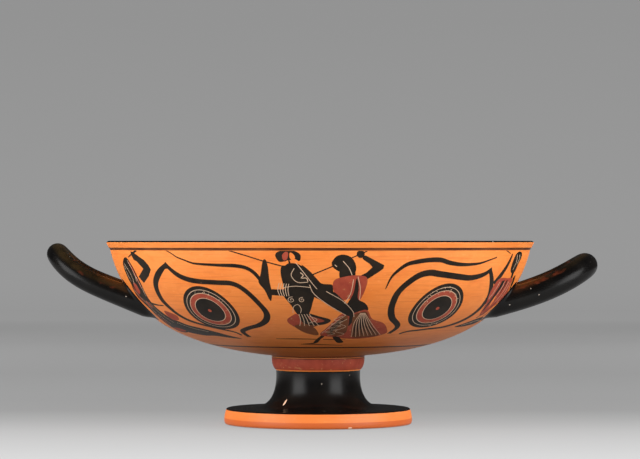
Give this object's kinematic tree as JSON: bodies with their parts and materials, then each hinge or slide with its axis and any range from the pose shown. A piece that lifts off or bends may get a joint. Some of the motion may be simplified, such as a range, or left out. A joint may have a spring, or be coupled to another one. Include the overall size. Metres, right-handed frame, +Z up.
{
  "type": "greek kylix cup",
  "caption": "Wide shallow painted drinking cup with a short lip, looped handles and a stemmed foot, an archaic eye cup.",
  "frame": {"origin": "on the floor under the middle of the bowl", "axes": "+Z up along the bowl's axis, X along the line of the two handles, -Y towards the main picture side"},
  "size_m": [0.3871, 0.3, 0.1285],
  "materials": {
    "painted_clay": "orange fired clay painted with black gloss and a little added red, semi-gloss"
  },
  "bodies": {
    "root": {"kylix": "painted_clay"}
  },
  "joints": []
}
